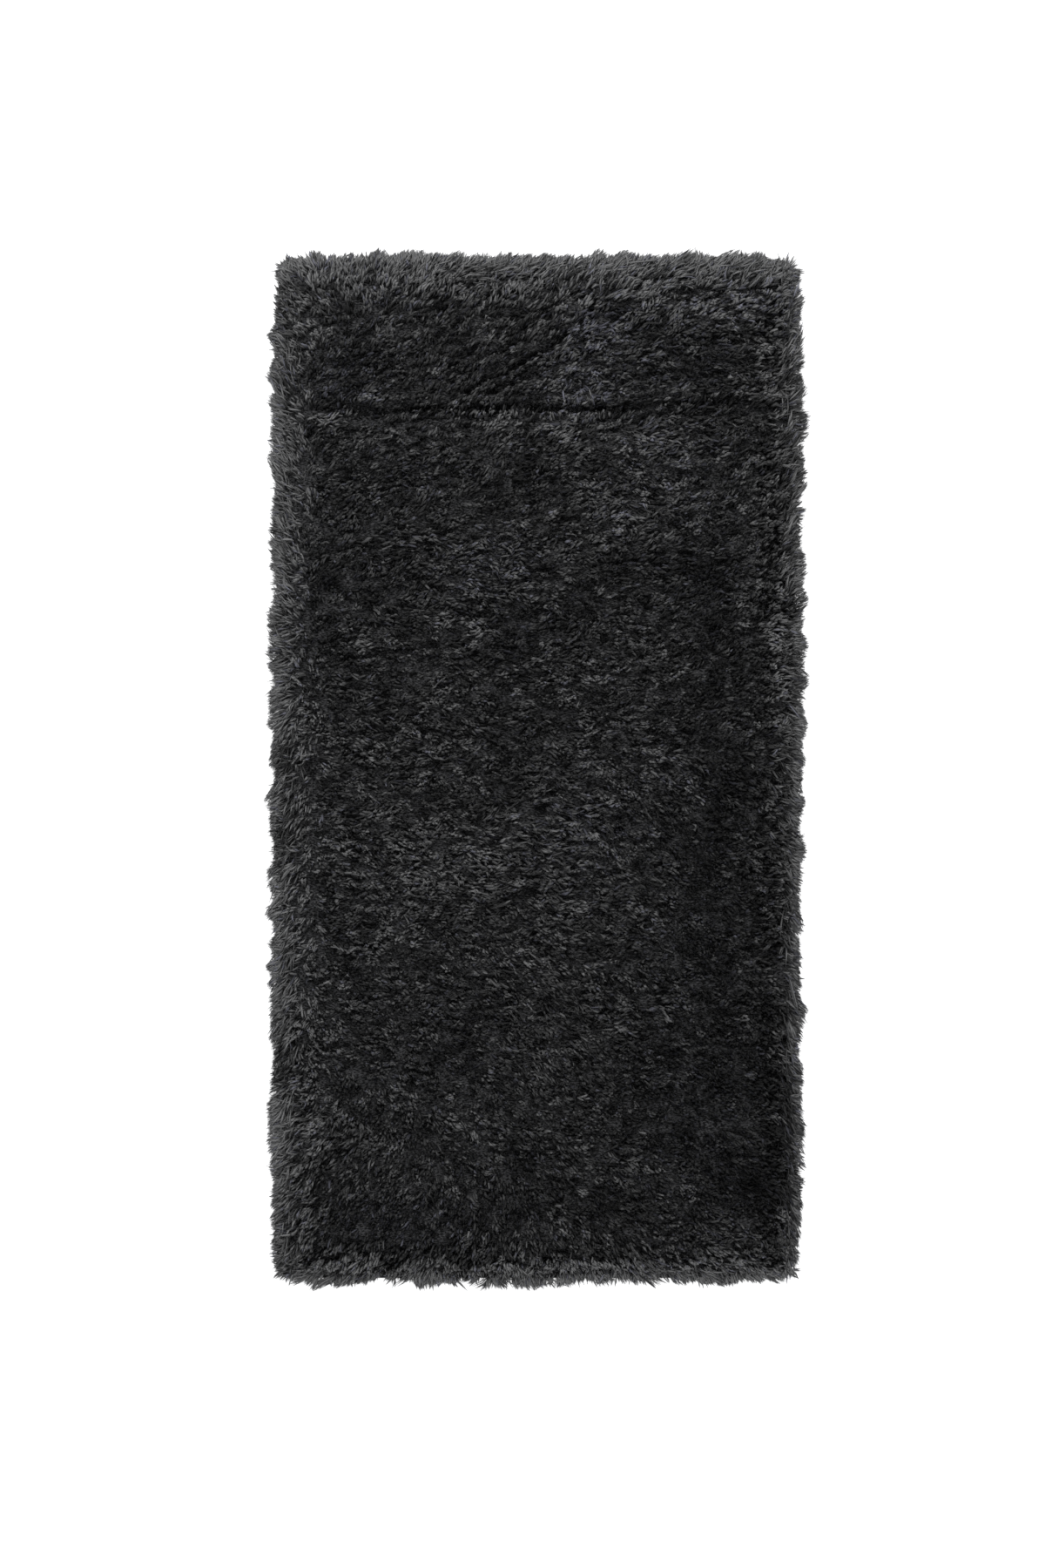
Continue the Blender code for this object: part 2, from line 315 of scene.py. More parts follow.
# Fine drift of the lay, and of the pile's height and shade. A seed is a place in the noise, so that no two
# patterns are alike.
NOISE_SWING = 1.6  # makes the noise reach about -1 and 1
ROW_SEED, CREASE_SEED, CLUMP_SEED, RIM_SEED = 30.3, 33.3, 40.1, 50.2
NOTCH_SEED, MARK_SEED, BREAK_SEED = 60.6, 70.7, 80.8
FLATNESS_SEED = 4.4  # added to a drift's own
DRIFTS = (
    # size of a patch, degrees, share of the flatness, seed
    (0.120, 12, 0.12, 2.3),
    (0.042, 18, 0.27, 8.9),
    (0.020, 20, 0.25, 15.1),
)
TUFT_TURN, RIM_TUFT_TURN = 13, 19  # degrees, from tuft to tuft, in the field and at the rim
TUFT_HEIGHT_VARIES = 0.0030
CLUMP_HEIGHT, CLUMP_SIZE = 0.0055, 0.022
RIM_LAYER_VARIES, RIM_LAYER_POWER = 0.85, 3  # the rim's yarns lie in layers, from the top down to the floor
LOWEST_TIP, LOWEST_KNEE, HIGHEST = 0.0019, 0.0060, 0.0540  # no tip or knee lies lower or higher
GIRTH_VARIES, LEAST_GIRTH, MOST_GIRTH = 0.20, 0.5, 1.6

# Shades of the yarn
SHADE_STEPS = 64
TINT_STEPS = 2
JUST_UNDER_ONE = 0.999  # keeps the lightest yarns within the last step
TUFT_SHADE_VARIES = 0.14
YARN_SHADE_VARIES = 0.035
RIM_SHADE_VARIES = 0.17
# painted light on a tuft's side to the head, painted shade on its side to the foot
TUFT_SIDE_SHADE = 0.100  # a tuft's side to the head is lighter
SHADE_DRIFTS = (
    # size of a patch, how much lighter, seed
    (0.014, 0.095, 17.2),
    (0.026, 0.105, 21.7),
    (0.070, 0.060, 25.3),
)
MIDDLE_SHADE = 0.606
# painted light on the yarns of each side of the rim
SIDES_PAINTED_LIGHT = (0.31, 0.16, 0.41, 0.42)  # left, right, head and foot
# painted light on the thin tips that end past the solid
EDGE_PAINTED_LIGHT = 0.16  # of the tips that end past the solid
MOST_LIGHTER, MOST_DARKER = 0.34, 0.60  # the furthest that a yarn's shade goes from the middle one
BLUE_SHARE = 0.06
# Patches of painted light and painted shade for how the pile lies to the light, and of the yarn's own bluer
# tint
PAINTED_LIGHT_AND_TINT_PATCHES = (
    # place along X and Y, half size along X and Y, lighter or darker, bluer
    (0.085, 0.610, 0.050, 0.038, 0.22, 0.5),
    (0.062, 0.532, 0.050, 0.030, 0.28, 0.4),
    (-0.116, 0.560, 0.100, 0.022, -0.08, 0.1),
    (-0.080, 0.585, 0.045, 0.026, -0.22, 0.1),
    (-0.060, 0.519, 0.055, 0.013, -0.16, 0.1),
    (-0.045, 0.490, 0.035, 0.010, 0.18, 0.0),
    (-0.274, 0.545, 0.045, 0.040, -0.09, 0.5),
    (-0.215, 0.655, 0.030, 0.025, 0.14, 0.1),
    (0.188, 0.552, 0.060, 0.035, -0.14, 0.2),
    (0.255, 0.568, 0.035, 0.035, -0.20, 0.2),
    (0.310, 0.648, 0.050, 0.028, 0.32, 0.3),
    (0.212, 0.645, 0.030, 0.022, 0.18, 0.2),
    (0.016, 0.478, 0.080, 0.018, 0.27, 0.1),
    (-0.292, 0.470, 0.035, 0.022, 0.13, 0.0),
    (-0.175, 0.410, 0.048, 0.050, -0.15, 0.1),
    (-0.020, 0.405, 0.034, 0.035, -0.20, 0.1),
    (0.178, 0.434, 0.060, 0.045, 0.18, 0.2),
    (0.115, 0.350, 0.050, 0.032, 0.13, 0.1),
    (0.230, 0.370, 0.035, 0.035, 0.12, 0.1),
    (0.178, 0.285, 0.070, 0.028, -0.18, 0.1),
    (0.232, 0.262, 0.045, 0.040, -0.18, 0.1),
    (-0.061, 0.302, 0.055, 0.030, 0.08, 0.3),
    (-0.088, 0.262, 0.045, 0.024, 0.11, 0.2),
    (-0.250, 0.270, 0.070, 0.034, -0.18, 0.1),
    (-0.345, 0.285, 0.018, 0.080, 0.18, 0.0),
    (-0.345, 0.150, 0.018, 0.050, 0.12, 0.0),
    (-0.306, 0.212, 0.032, 0.080, -0.28, 0.1),
    (-0.020, 0.175, 0.050, 0.045, -0.20, 0.1),
    (0.060, 0.222, 0.045, 0.035, -0.15, 0.1),
    (0.250, 0.165, 0.028, 0.045, -0.10, 0.1),
    (-0.115, 0.115, 0.050, 0.028, 0.10, 0.0),
    (0.020, 0.375, 0.040, 0.030, -0.09, 0.0),
    (0.292, 0.134, 0.028, 0.020, -0.14, 0.0),
    (0.338, 0.150, 0.018, 0.088, 0.21, 0.0),
    (0.342, 0.335, 0.018, 0.030, -0.10, 0.0),
    (-0.305, 0.058, 0.030, 0.035, 0.13, 0.0),
    (-0.366, 0.000, 0.022, 0.028, -0.42, 0.0),
    (-0.366, -0.100, 0.022, 0.042, -0.26, 0.0),
    (-0.050, 0.047, 0.030, 0.020, -0.15, 0.0),
    (0.205, -0.010, 0.050, 0.035, 0.21, 0.1),
    (0.250, -0.085, 0.028, 0.026, -0.12, 0.1),
    (0.296, -0.010, 0.034, 0.045, -0.22, 0.1),
    (0.249, -0.142, 0.036, 0.480, -0.27, 0.1),
    (0.188, -0.350, 0.050, 0.280, -0.11, 0.1),
    (0.310, -0.385, 0.040, 0.270, -0.13, 0.0),
    (0.275, -0.470, 0.060, 0.140, -0.09, 0.1),
    (0.338, -0.500, 0.024, 0.200, -0.16, 0.0),
    (0.352, -0.038, 0.022, 0.026, -0.20, 0.0),
    (-0.210, 0.516, 0.035, 0.018, 0.13, 0.0),
    (-0.300, -0.294, 0.028, 0.026, 0.12, 0.0),
    (0.030, -0.294, 0.035, 0.025, 0.10, 0.0),
    (0.121, -0.549, 0.030, 0.022, 0.12, 0.0),
    (-0.075, -0.105, 0.060, 0.045, 0.19, 0.0),
    (-0.030, -0.215, 0.050, 0.050, 0.13, 0.0),
    (0.060, -0.090, 0.065, 0.055, 0.14, 0.2),
    (0.185, -0.208, 0.040, 0.022, 0.22, 0.0),
    (-0.226, -0.142, 0.080, 0.070, 0.15, 0.0),
    (-0.140, -0.220, 0.045, 0.035, 0.18, 0.0),
    (0.150, -0.450, 0.050, 0.070, -0.11, 0.0),
    (-0.090, -0.365, 0.050, 0.030, -0.12, 0.1),
    (-0.141, -0.422, 0.080, 0.050, -0.12, 0.1),
    (-0.317, -0.324, 0.028, 0.170, 0.12, 0.0),
    (-0.288, -0.390, 0.036, 0.065, 0.14, 0.0),
    (-0.025, -0.548, 0.050, 0.030, -0.14, 0.1),
    (0.200, -0.512, 0.060, 0.030, -0.16, 0.1),
    (-0.200, -0.632, 0.080, 0.030, -0.28, 0.5),
    (-0.026, -0.610, 0.050, 0.026, -0.14, 0.1),
    (0.088, -0.606, 0.042, 0.032, -0.32, 0.1),
    (0.300, -0.580, 0.045, 0.045, -0.27, 0.2),
    (0.278, -0.638, 0.040, 0.026, 0.26, 0.0),
    (0.220, -0.553, 0.060, 0.018, 0.10, 0.0),
    (0.255, -0.678, 0.075, 0.018, 0.31, 0.0),
    (0.000, -0.678, 0.060, 0.016, 0.14, 0.0),
    (-0.155, -0.676, 0.050, 0.018, -0.10, 0.0),
    (-0.368, -0.422, 0.022, 0.026, -0.42, 0.0),
    (-0.368, -0.507, 0.022, 0.024, 0.32, 0.0),
    (-0.366, 0.650, 0.022, 0.045, -0.24, 0.0),
    (-0.350, -0.655, 0.020, 0.040, -0.10, 0.0),
)
DARKEST_YARN = 0.0045
LIGHTEST_YARN = 0.2000
PLAIN_TINT = (1.00, 1.00, 1.00, 1.0)
BLUE_TINT = (0.94, 0.95, 1.13, 1.0)
# painted shade, darker down towards each yarn's root
ROOT_PAINTED_SHADE = 0.72  # of the tip's
YARN_TURNS_PALER = (0.10, 0.85)  # between these places along it
YARN_STREAKS = (9, 5)  # of fibre, round a yarn and along it

# The inside and the weave: the darker colour and the paler one, and how many streaks of fibre to a metre
DEEP_COLOURS = ((0.004, 0.004, 0.0043, 1.0), (0.055, 0.055, 0.057, 1.0))
DEEP_TURNS_PALER = (0.38, 0.64)  # between these heights of its streaks
DEEP_STREAKS = (230, 560)  # along X and along Y
WEAVE_COLOURS = ((0.020, 0.020, 0.021, 1.0), (0.060, 0.060, 0.062, 1.0))
WEAVE_STREAKS = (900, 900)

# Stage
FLOOR_COLOURS = ((0.90, 0.90, 0.90, 1.0), (0.93, 0.93, 0.93, 1.0))
CAMERA_PLACE = (-0.0202, -0.020, 4.00)
CAMERA_LENS = 65.6
FLOOR_SIZE = 24.0
FLOOR_GLOW = 0.55  # lit from below, so that it stays white beside the rug
ROOM_LIGHT, ROOM_COLOUR = 0.72, (0.97, 0.98, 1.0, 1.0)

chance = np.random.default_rng(12)


def smooth_step(share):
    """An even rise from 0 to 1 with soft ends."""
    share = np.clip(share, 0.0, 1.0)
    return share * share * (3 - 2 * share)


def read_table(rows, places, column=1):
    """The values of a table's column at many places."""
    return np.interp(places, [row[0] for row in rows], [row[column] for row in rows])


def band_share(gap, band, end):
    """How much a band acts at a distance from its line: wholly by the line, and not at all past its end."""
    return smooth_step(end - gap / band)


def start_alone():
    """Deselects everything, so that the next operators act on the new shape alone."""
    bpy.ops.object.select_all(action="DESELECT")


def add_grid(name, cells):
    """A flat grid on the floor, one metre wide and long, to be shaped."""
    start_alone()
    across, along = cells
    bpy.ops.mesh.primitive_grid_add(x_subdivisions=across, y_subdivisions=along, size=1, location=(0, 0, 0))
    grid = bpy.context.object
    grid.name = grid.data.name = name
    return grid


def extrude_up(height):
    """Extrudes what is selected straight up, or down."""
    bpy.ops.mesh.extrude_region_move(TRANSFORM_OT_translate={"value": (0, 0, height)})


def finish_shape():
    """Turns every face of the shape in edit mode outwards, and leaves edit mode."""
    bpy.ops.mesh.select_all(action="SELECT")
    bpy.ops.mesh.normals_make_consistent(inside=False)
    bpy.ops.object.mode_set(mode="OBJECT")


# ---- the solid that the pile follows


class PileTop:
    """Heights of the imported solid's upper side, read on an even grid."""

    STEP = 0.004
    MARGIN = 0.030  # round the solid
    SOFTENING = 4  # how often its cover is evened out
    FROM_END = 1.001  # in steps, so that there is always a next point to read

    def __init__(self, node):
        low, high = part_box(node)
        self.low = np.array((low[0] - self.MARGIN, low[1] - self.MARGIN))
        size = np.array((high[0] + self.MARGIN, high[1] + self.MARGIN)) - self.low
        self.count = np.ceil(size / self.STEP).astype(int) + 1
        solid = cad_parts[node]
        tree = BVHTree.FromObject(solid, bpy.context.evaluated_depsgraph_get())
        start_height = high[2] + self.MARGIN
        heights = np.zeros(self.count)
        for i in range(self.count[0]):
            for j in range(self.count[1]):
                start = (self.low[0] + i * self.STEP, self.low[1] + j * self.STEP, start_height)
                hit = tree.ray_cast(start, (0, 0, -1))[0]
                heights[i, j] = hit.z if hit else 0.0
        self.heights = heights
        self.cover = self.softened(heights > 0)

    def softened(self, cover):
        """How much of the neighbourhood of each point the solid covers, from 0 to 1."""
        cover = cover.astype(float)
        for _ in range(self.SOFTENING):
            for axis in (0, 1):
                cover = (np.roll(cover, 1, axis) + 2 * cover + np.roll(cover, -1, axis)) / 4
        return cover

    def at(self, x, y):
        """The solid's height at many places."""
        return self.between(self.heights, x, y)

    def covered(self, x, y):
        """The solid's soft cover at many places."""
        return self.between(self.cover, x, y)

    def between(self, h, x, y):
        """A grid's values at many places, straight between its points."""
        across = np.clip((x - self.low[0]) / self.STEP, 0, self.count[0] - self.FROM_END)
        along = np.clip((y - self.low[1]) / self.STEP, 0, self.count[1] - self.FROM_END)
        i, j = across.astype(int), along.astype(int)
        u, v = across - i, along - j
        near = h[i, j] * (1 - u) + h[i + 1, j] * u
        far = h[i, j + 1] * (1 - u) + h[i + 1, j + 1] * u
        return near * (1 - v) + far * v


# ---- the lay of the pile


def drift(x, y, size, seed):
    """Smooth noise from about -1 to 1 at many places."""
    return np.array([noise.noise(Vector((a / size, b / size, seed))) for a, b in zip(x, y)]) * NOISE_SWING


def field_lay(x, y):
    """The way the tips point in the field, as sums of unit vectors, and how flat they lie."""
    rows = np.array(COMBED)
    gap = (x[:, None] - rows[:, 0]) ** 2 + (y[:, None] - rows[:, 1]) ** 2
    pull = np.exp(-gap / (2 * COMB_REACH ** 2)) + 1e-9
    pull /= pull.sum(axis=1, keepdims=True)
    way = np.radians(rows[:, 2])
    return pull @ np.cos(way), pull @ np.sin(way), pull @ rows[:, 3]


def rim_shares(x, y):
    """How much each side's outward lay acts at a place: left, right, head and foot."""
    half_width, half_length = CLOTH_SIZE[0] / 2, CLOTH_SIZE[1] / 2
    wander = RIM_WANDER * drift(x, y, RIM_WANDER_SIZE, RIM_SEED)
    return (
        band_share(x + half_width + wander, LEFT_BAND, RIM_END),
        band_share(half_width - x + wander, RIGHT_BAND, RIM_END),
        band_share(half_length - y + wander, HEAD_BAND, RIM_END),
        band_share(y + half_length + wander, FOOT_BAND, RIM_END),
    )


def wavered(x, y):
    """Places along Y, shifted a little to and fro, so that the marks waver."""
    return y + MARK_WAVER * drift(x, y, MARK_WAVER_SIZE, MARK_SEED)


def below_fold(x, y):
    """How far a place lies below the fold mark."""
    return read_table(FOLD_MARK, x) - wavered(x, y)


def beside_marks(x, y):
    """For every stretch of the fold mark and of the slanting partings: the way it runs, how clear it is, how
    far each place lies above it, and how far from the nearest point of it."""
    y = wavered(x, y)
    fold = [
        (from_x, from_y, to_x, to_y, read_table(FOLD_STRENGTH, (from_x + to_x) / 2))
        for (from_x, from_y), (to_x, to_y) in zip(FOLD_MARK, FOLD_MARK[1:])
    ]
    for from_x, from_y, to_x, to_y, clear in (*fold, *SLANTING_PARTINGS):
        length = math.hypot(to_x - from_x, to_y - from_y)
        ahead, aside = (to_x - from_x) / length, (to_y - from_y) / length
        along = (x - from_x) * ahead + (y - from_y) * aside
        above = (y - from_y) * ahead - (x - from_x) * aside
        yield (ahead, aside), clear, above, np.hypot(above, along - np.clip(along, 0, length))


def on_mark(x, y):
    """How much a place is in a mark, in the shade above one, and in the light below one, from 0 to 1."""
    marked, shaded, lit = np.zeros((3, len(x)))
    for _, clear, above, gap in beside_marks(x, y):
        upper = smooth_step(0.5 + above / MARK_WIDTH)
        beside = clear * np.exp(-((gap / MARK_SIDE) ** 2))
        width = np.where(above > 0, MARK_WIDTH, MARK_LIP)
        marked = np.maximum(marked, clear * np.exp(-((gap / width) ** 2)))
        shaded = np.maximum(shaded, beside * upper)
        lit = np.maximum(lit, beside * (1 - upper))
    return marked, shaded, lit


def opened_at_marks(places):
    """Moves the points above each mark away from it, so that the pile stands open there."""
    moved = places.copy()
    for (ahead, aside), clear, above, gap in beside_marks(*places.T):
        push = MARK_OPEN * clear * np.clip(1 - gap / MARK_REACH, 0, 1) * (above > 0)
        moved += push[:, None] * np.array((-aside, ahead))
    return moved


def clump_rise(x, y):
    """How far the clumps of the pile stand up from the solid's top, or sink below it."""
    return CLUMP_HEIGHT * drift(x, y, CLUMP_SIZE, CLUMP_SEED)


def in_crease(x, y):
    """How much a place is in one of the fine creases, from 0 to 1."""
    share = np.zeros(len(x))
    for low, high, slant in CREASES:
        inside = np.flatnonzero((y >= low) & (y < high))
        turn = math.radians(slant)
        along = x[inside] * math.cos(turn) + y[inside] * math.sin(turn)
        across = y[inside] * math.cos(turn) - x[inside] * math.sin(turn)
        away = np.abs(drift(along / CREASE_LENGTH, across / CREASE_GAP, 1, CREASE_SEED))
        share[inside] = smooth_step(1 - away / CREASE_WIDTH)
    return share


def lay_of(x, y):
    """The way the tips point in radians, how flat they lie, how much they are the rim's and the fold lip's,
    and how much two lays part there."""
    ahead, aside, flat = field_lay(x, y)
    below = below_fold(x, y)
    lip = band_share(below, FOLD_LIP, LIP_END) * (below > 0)
    lip_way = np.radians(read_table(FOLD_LIP_LAY, x))
    ahead = ahead * (1 - lip) + np.cos(lip_way) * lip
    aside = aside * (1 - lip) + np.sin(lip_way) * lip
    flat = flat * (1 - lip) + FOLD_LIP_FLATNESS * lip
    sides = rim_shares(x, y)
    lays = ((LEFT_LAY, y), (RIGHT_LAY, y), (HEAD_LAY, x), (FOOT_LAY, x))
    most = np.maximum.reduce(sides)
    ahead, aside = ahead * (1 - most), aside * (1 - most)
    for share, (lay, place) in zip(sides, lays):
        side_way = np.radians(read_table(lay, place))
        ahead = ahead + share * np.cos(side_way)
        aside = aside + share * np.sin(side_way)
    flat = flat * (1 - most) + RIM_FLATNESS * most
    parted = 1 - np.clip(np.hypot(ahead, aside), LEAST_FLATNESS, 1)
    flat = flat * (1 - parted)
    way = np.arctan2(aside, ahead)
    for size, degrees, flatness, seed in DRIFTS:
        way = way + np.radians(degrees) * drift(x, y, size, seed) * (1 - RIM_LESS_TURN * most)
        flat = flat + flatness * drift(x, y, size, seed + FLATNESS_SEED) * (1 - RIM_LESS_FLATNESS * most)
    return way, np.clip(flat, UPRIGHT_FLATNESS, 1.0), most, lip, parted


# ---- tufts and yarns

TuftHabits = namedtuple("TuftHabits", "way flat rim foot lip rise long shade curl limit")
# what a tuft's yarns share: the way they point, how flat they lie, how much they are the rim's, the foot's
# and the fold lip's, how far they rise, their length, shade and curl, and how much solid ends them at the rim

Spot = namedtuple("Spot", "marked shaded lit creased side")
# how much a tip lies in a mark, in the shade or the light beside one, in a crease, and at its tuft's side


def swing(count):
    """Random numbers round 0, none of them far from it."""
    return np.clip(chance.normal(0, 1, count), -MOST_SWING, MOST_SWING)


def field_tufts():
    """Where the tufts stand: wandering rows across the rug."""
    half_width, half_length = CLOTH_SIZE[0] / 2 - FIELD_INSET, CLOTH_SIZE[1] / 2 - FIELD_INSET
    rows = np.arange(-half_length, half_length, ROW_GAP)
    columns = np.arange(-half_width, half_width, TUFT_GAP)
    x, y = (grid.ravel() for grid in np.meshgrid(columns, rows))
    x = x + TUFT_GAP * (np.arange(len(rows)) % 2).repeat(len(columns)) / 2
    y = y + ROW_WANDER * drift(x, y, ROW_WANDER_SIZE, ROW_SEED)
    return np.column_stack((x, y)) + chance.uniform(-TUFT_SHIFT, TUFT_SHIFT, (len(x), 2))


def edge_tufts():
    """Where the tufts stand that thicken the edge: rings along it."""
    places = []
    for inset in RING_INSETS:
        half_width, half_length = CLOTH_SIZE[0] / 2 - inset, CLOTH_SIZE[1] / 2 - inset
        for x in np.arange(-half_width, half_width, RING_TUFT_GAP):
            places += [(x, -half_length), (-x, half_length)]
        for y in np.arange(-half_length, half_length, RING_TUFT_GAP):
            places += [(half_width, y), (-half_width, -y)]
    return np.array(places) + chance.uniform(-RING_SHIFT, RING_SHIFT, (len(places), 2))


def stopped_at_fold(root, tip):
    """Shortens the yarns that would cross the fold mark, so that they end beside it, a little unevenly. Where
    the mark is faint, some of them cross it."""
    ragged = chance.normal(0, FOLD_RAGGED, len(root))
    root_side = -below_fold(*root.T)
    tip_side = -below_fold(*tip.T) - ragged
    unbroken = read_table(FOLD_STRENGTH, root[:, 0]) > 0.5 + 0.5 * drift(*root.T, FOLD_BREAK_SIZE, BREAK_SEED)
    crosses = (root_side * tip_side < 0) & unbroken
    share = np.abs(root_side) / (np.abs(root_side) + np.abs(tip_side) + 1e-9)
    share = np.where(crosses, np.maximum(share - SHORT_OF_MARK, NEAREST_TO_MARK), 1)
    return root + (tip - root) * share[:, None]


def stopped_at_partings(root, tip):
    """Shortens the yarns that would cross a slanting parting."""
    reach = tip - root
    for from_x, from_y, to_x, to_y, _ in SLANTING_PARTINGS:
        line = np.array((to_x - from_x, to_y - from_y))
        gap = np.array((from_x, from_y)) - root
        turn = reach[:, 0] * line[1] - reach[:, 1] * line[0] + 1e-12
        share = (gap[:, 0] * line[1] - gap[:, 1] * line[0]) / turn
        along = (gap[:, 0] * reach[:, 1] - gap[:, 1] * reach[:, 0]) / turn
        crosses = (share > 0) & (share < 1) & (along > 0) & (along < 1)
        reach = reach * np.where(crosses, np.maximum(share - SHORT_OF_MARK, NEAREST_TO_MARK), 1)[:, None]
    return root + reach


def ended_at_rim(top, root, tip, limit):
    """Draws back the tips that would end outside the solid's soft edge, a little at a time."""
    for _ in range(DRAW_BACKS):
        outside = top.covered(*tip.T) < limit
        tip = np.where(outside[:, None], root + (tip - root) * DRAWN_BACK, tip)
    return tip


def tuft_habits(places):
    """What the yarns of each tuft share."""
    x, y = places.T
    tufts = len(places)
    way, flat, rim, lip, parted = lay_of(x, y)
    turn = TUFT_TURN + PARTED_TURN * parted + (RIM_TUFT_TURN - TUFT_TURN) * rim
    way = way + np.radians(turn * swing(tufts))
    rise = chance.normal(0, TUFT_HEIGHT_VARIES, tufts)
    rise = rise + clump_rise(x, y) * (1 - RIM_LESS_CLUMPS * rim)
    rise = rise + LIP_RISE * lip
    long = 1 + TUFT_REACH_VARIES * swing(tufts)
    shade = chance.normal(0, TUFT_SHADE_VARIES, tufts)
    for size, lighter, seed in SHADE_DRIFTS:
        shade = shade + lighter * drift(x, y, size, seed)
    _, above_mark, below_mark = on_mark(x, y)
    curl = chance.normal(0, TUFT_CURL + (RIM_CURL - TUFT_CURL) * rim)
    curl = curl * np.maximum(1 - above_mark - below_mark, 0)
    foot = rim_shares(x, y)[-1]
    notch = NOTCH_SOFTNESS + FOOT_NOTCH_SOFTNESS * foot
    limit = chance.uniform(*TUFT_SOFTNESS, tufts)
    limit = limit + notch * np.maximum(drift(x, y, NOTCH_SIZE, NOTCH_SEED), 0)
    return TuftHabits(way, flat, rim, foot, lip, rise, long, shade, curl, limit)


def spread_roots(middles, way, spread):
    """Where the yarns stand, round the middles of their tufts: how far to a side of the tuft, as a share, how
    far from its middle, and the root."""
    around = chance.uniform(0, 2 * math.pi, len(way))
    out = np.sqrt(chance.uniform(0, 1, len(way)))
    ahead, aside = out * np.cos(around), out * np.sin(around)
    offset = ahead[:, None] * np.column_stack((np.cos(way), np.sin(way)))
    offset = offset + (TUFT_NARROW * aside)[:, None] * np.column_stack((-np.sin(way), np.cos(way)))
    offset = offset * spread
    return aside, offset, np.clip(middles + offset, -ROOT_LIMIT, ROOT_LIMIT)


def spread_tips(top, root, offset, growth, habits):
    """Where the yarns' tips lie, seen from above. Those at the cloth's edge reach far over it."""
    from_edge = np.min(ROOT_LIMIT - np.abs(root), axis=1)
    outer = band_share(from_edge, RIM_REACH_BAND, RIM_REACH_END)
    outer = outer * habits.rim ** (RIM_REACH_FALL + (FOOT_REACH_FALL - RIM_REACH_FALL) * habits.foot)
    furthest = growth.reach + (RIM_REACH - growth.reach) * outer
    reach = (UPRIGHT_REACH + (furthest - UPRIGHT_REACH) * habits.flat) * habits.long
    reach = reach * (1 + REACH_VARIES * swing(len(root)))
    heading = np.column_stack((np.cos(habits.way), np.sin(habits.way)))
    gathered = growth.gather + (RIM_GATHER - growth.gather) * habits.rim
    gather = chance.normal(0, TIP_SPREAD, root.shape) - gathered[:, None] * offset
    tip = root + heading * reach[:, None] + gather
    tip = stopped_at_partings(root, stopped_at_fold(root, tip))
    return ended_at_rim(top, root, tip, habits.limit + chance.uniform(*YARN_SOFTNESS, len(root)))


def curled_knees(root, tip, curl):
    """Where the yarns bend over, seen from above. Those of a tuft curl to one side."""
    across = np.column_stack((root[:, 1] - tip[:, 1], tip[:, 0] - root[:, 0]))
    knee = root + (tip - root) * KNEE_PLACE + across * curl[:, None]
    return knee + chance.normal(0, KNEE_SPREAD, root.shape)


def spots_of(knee, tip, aside, rim):
    """What lies where each yarn ends."""
    middle = (knee + tip) / 2
    creased = np.maximum(in_crease(*tip.T), in_crease(*middle.T)) * (1 - rim)
    return Spot(*on_mark(*tip.T), creased, np.abs(aside) ** TUFT_DOME_POWER)


def heights_of(top, root, knee, tip, spot, growth, habits):
    """How high the yarns' knees and tips lie."""
    count = len(root)
    rim, lip = habits.rim, habits.lip
    depth = growth.sunk + np.abs(chance.normal(0, growth.sunk_varies, count)) - habits.rise
    depth = depth + MARK_DEPTH * spot.marked + CREASE_DEPTH * spot.creased + TUFT_DOME * spot.side * (1 - rim)
    layer = 1 - rim ** RIM_LAYER_POWER * chance.uniform(0, RIM_LAYER_VARIES, count)
    height = top.at(*tip.T) * (1 - lip) + top.at(*root.T) * lip
    tip_height = (height - depth) * layer
    bend = growth.bend + FLAT_BEND * habits.flat + chance.normal(0, BEND_VARIES, count)
    knee_height = (top.at(*knee.T) - depth) * bend * layer
    return np.clip(knee_height, LOWEST_KNEE, HIGHEST), np.clip(tip_height, LOWEST_TIP, HIGHEST)


def tone_of(top, tip, offset, spot, growth, habits):
    """How much lighter or darker each yarn is, with painted light and shade for its place in the pile."""
    tone = habits.shade - MARK_PAINTED_SHADE * spot.marked - MARK_SIDE_PAINTED_SHADE * spot.shaded
    tone = tone + MARK_SIDE_PAINTED_LIGHT * spot.lit - CREASE_PAINTED_SHADE * spot.creased
    tone = tone + TUFT_SIDE_SHADE * offset[:, 1] / growth.spread * (1 - RIM_LESS_SIDE_SHADE * habits.rim)
    tone = tone - TUFT_DOME_PAINTED_SHADE * spot.side * (1 - RIM_LESS_DOME_SHADE * habits.rim)
    tone = tone + chance.normal(0, RIM_SHADE_VARIES, len(tip)) * habits.rim
    return tone + EDGE_PAINTED_LIGHT * (1 - top.covered(*tip.T))


def shade_of(tip, tone):
    """Which shade step and tint each yarn has, with painted light and shade for its place on the rug."""
    x, y = tip.T
    count = len(tip)
    tone = tone + chance.normal(0, YARN_SHADE_VARIES, count)
    sides = zip(SIDES_PAINTED_LIGHT, rim_shares(x, y))
    tone = tone + np.maximum.reduce([lighter * share for lighter, share in sides])
    blue = np.full(count, BLUE_SHARE)
    for middle_x, middle_y, half_x, half_y, lighter, bluer in PAINTED_LIGHT_AND_TINT_PATCHES:
        share = np.exp(-(((x - middle_x) / half_x) ** 2) - ((y - middle_y) / half_y) ** 2)
        tone = tone + lighter * share
        blue = blue + bluer * share
    most = np.where(tone > 0, MOST_LIGHTER, MOST_DARKER)
    tone = MIDDLE_SHADE + most * np.tanh(tone / most)
    step = (np.clip(tone, 0, JUST_UNDER_ONE) * SHADE_STEPS).astype(int)
    return step, (chance.uniform(0, 1, count) < blue).astype(int)


